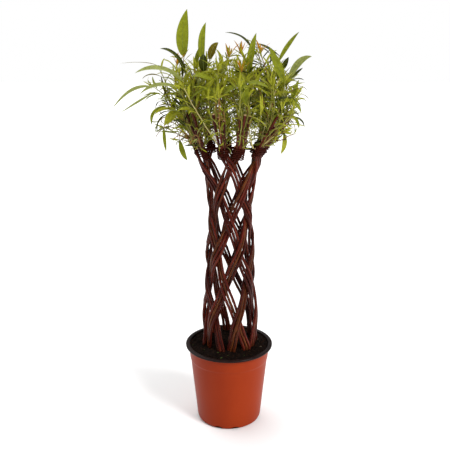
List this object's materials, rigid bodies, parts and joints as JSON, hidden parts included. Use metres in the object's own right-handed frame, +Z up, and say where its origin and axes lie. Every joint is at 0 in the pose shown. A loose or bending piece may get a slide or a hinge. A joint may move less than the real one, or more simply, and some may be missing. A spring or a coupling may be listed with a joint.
{
  "type": "potted willow",
  "caption": "Young willow whose slim red stems are woven into an open hollow column, tied below a loose leafy crown, growing in a tapered round nursery pot.",
  "frame": {"origin": "centre of the pot's flat underside", "axes": "+Z up along the pot's and the woven column's axis, -Y to the front, +X to the right seen from the front"},
  "size_m": [0.44, 0.395, 0.964],
  "materials": {
    "pot": "satin",
    "potting_mix": "matte",
    "bark": "satin",
    "cord": "matte",
    "foliage": "satin"
  },
  "bodies": {
    "root": {"pot": "pot", "potting_mix": "potting_mix", "stem_east_1": "bark", "stem_east_2": "bark", "stem_east_3": "bark", "stem_east_4": "bark", "stem_east_5": "bark", "stem_east_6": "bark", "stem_west_1": "bark", "stem_west_2": "bark", "stem_west_3": "bark", "stem_west_4": "bark", "stem_west_5": "bark", "stem_west_6": "bark", "tie_east_1": "cord", "tie_east_2": "cord", "tie_east_3": "cord", "tie_east_4": "cord", "tie_east_5": "cord", "tie_east_6": "cord", "tie_west_1": "cord", "tie_west_2": "cord", "tie_west_3": "cord", "tie_west_4": "cord", "tie_west_5": "cord", "tie_west_6": "cord", "binding_hoop": "cord", "foliage_low_east": "foliage", "foliage_low_north_east": "foliage", "foliage_low_north_west": "foliage", "foliage_low_west": "foliage", "foliage_low_south_west": "foliage", "foliage_low_south_east": "foliage", "foliage_high_east": "foliage", "foliage_high_north": "foliage", "foliage_high_north_west": "foliage", "foliage_high_west": "foliage", "foliage_high_south": "foliage", "foliage_high_south_east": "foliage", "foliage_heart": "foliage", "foliage_top": "foliage", "foliage_hanging_east": "foliage", "foliage_hanging_north": "foliage", "foliage_hanging_west": "foliage", "foliage_hanging_south": "foliage"}
  },
  "joints": []
}
